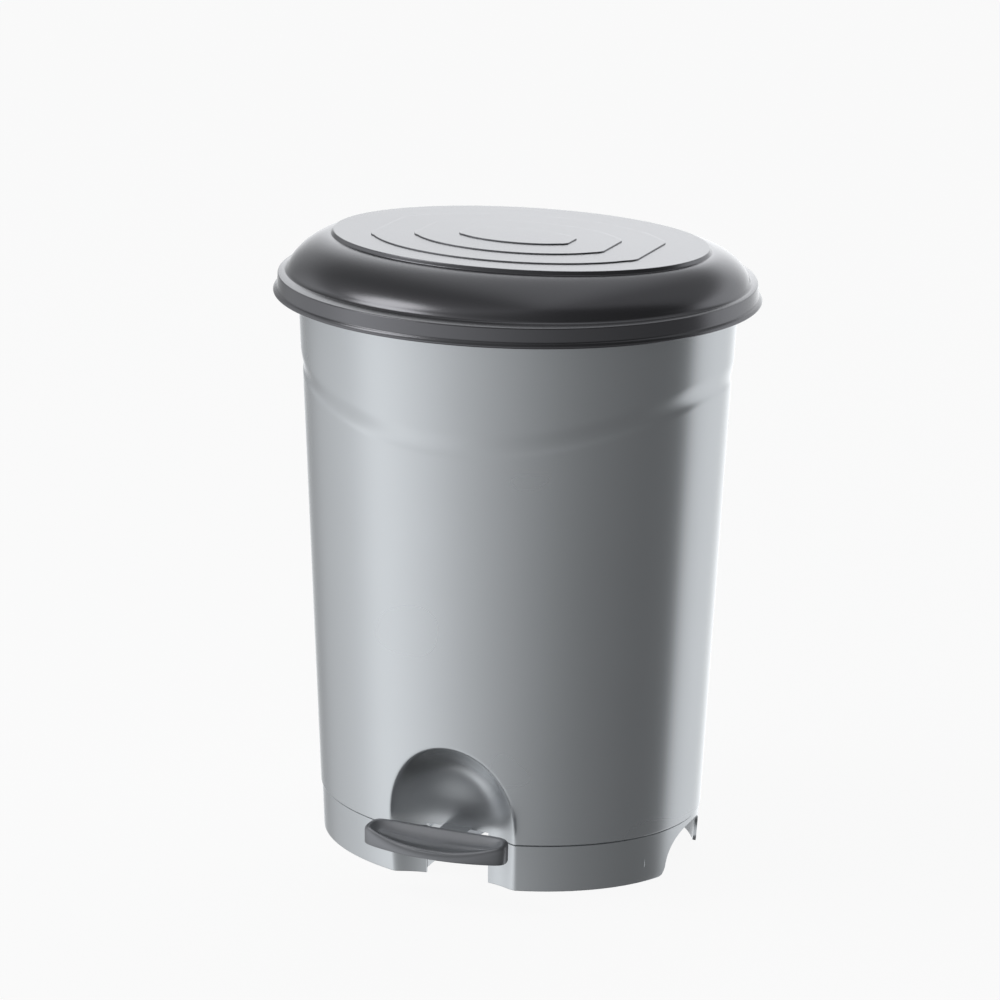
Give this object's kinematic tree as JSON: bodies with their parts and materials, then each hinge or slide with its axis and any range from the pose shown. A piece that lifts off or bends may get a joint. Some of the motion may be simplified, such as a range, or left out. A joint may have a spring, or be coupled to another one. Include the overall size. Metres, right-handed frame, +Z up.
{
  "type": "pedal trash can",
  "caption": "Oval pedal bin with a tapered body on a skirted base, a stepped hinged lid, a dished foot pedal in a toe niche and a lift-out inner bucket.",
  "frame": {"origin": "centre of the footprint on the floor", "axes": "+Z up, -Y to the front where the pedal is, +X to the right seen from the back, hinge at +Y"},
  "size_m": [0.41, 0.3816, 0.5273],
  "materials": {
    "body_plastic": "satin silver-grey moulded plastic with a fine metallic fleck",
    "base_plastic": "satin silver-grey moulded plastic with a fine metallic fleck",
    "lid_plastic": "satin anthracite moulded plastic",
    "pedal_plastic": "fine-grained anthracite moulded plastic",
    "bucket_plastic": "black moulded polypropylene",
    "grip_plastic": "dark moulded plastic sleeve",
    "fitting_plastic": "natural acetal",
    "buffer_rubber": "soft black rubber",
    "rod_steel": "drawn zinc-plated steel wire and pin stock",
    "screw_steel": "zinc-plated steel",
    "lever_steel": "zinc-plated pressed steel",
    "bracket_steel": "zinc-plated pressed steel"
  },
  "bodies": {
    "bin": {"body_shell": "body_plastic", "base": "base_plastic", "base_screws": "screw_steel", "pedal_axle": "rod_steel", "axle_clips": "screw_steel", "rod_guides": "fitting_plastic", "hinge_bracket": "bracket_steel", "bracket_screws": "screw_steel", "hinge_pin": "rod_steel"},
    "lid": {"lid_shell": "lid_plastic", "lid_arm": "bracket_steel", "arm_screws": "screw_steel", "rod_upper_pin": "rod_steel", "lid_buffers": "buffer_rubber"},
    "pedal": {"pedal_pad": "pedal_plastic", "pedal_lever": "lever_steel", "pad_screws": "screw_steel", "lever_bushes": "fitting_plastic", "rod_lower_pin": "rod_steel"},
    "rod": {"push_rod": "rod_steel"},
    "bucket": {"inner_bucket": "bucket_plastic", "bail_lugs": "bucket_plastic"},
    "bail": {"bail": "rod_steel", "bail_grip": "grip_plastic"}
  },
  "joints": [
    {"name": "lid_hinge", "type": "hinge", "parent": "bin", "child": "lid", "pos_m": [0, 0.1665, 0.486], "axis": [-1, 0, 0], "range_deg": [0, 78]},
    {"name": "pedal_pivot", "type": "hinge", "parent": "bin", "child": "pedal", "pos_m": [0, -0.025, 0.031], "axis": [1, 0, 0], "range_deg": [0, 11.4]},
    {"name": "rod_slide", "type": "slide", "parent": "bin", "child": "rod", "axis": [0, 0.0728, 0.9973], "range_m": [0, 0.0282]},
    {"name": "bucket_lift", "type": "slide", "parent": "bin", "child": "bucket", "axis": [0, 0, 1], "range_m": [0, 0.008]},
    {"name": "bail_swing", "type": "hinge", "parent": "bucket", "child": "bail", "pos_m": [0, 0, 0.481], "axis": [-1, 0, 0], "range_deg": [0, 8]}
  ],
  "couplings": [
    {"joint": "pedal_pivot", "follows": "lid_hinge", "ratio": 0.14539},
    {"joint": "rod_slide", "follows": "lid_hinge", "m_per_rad": 0.020622}
  ]
}
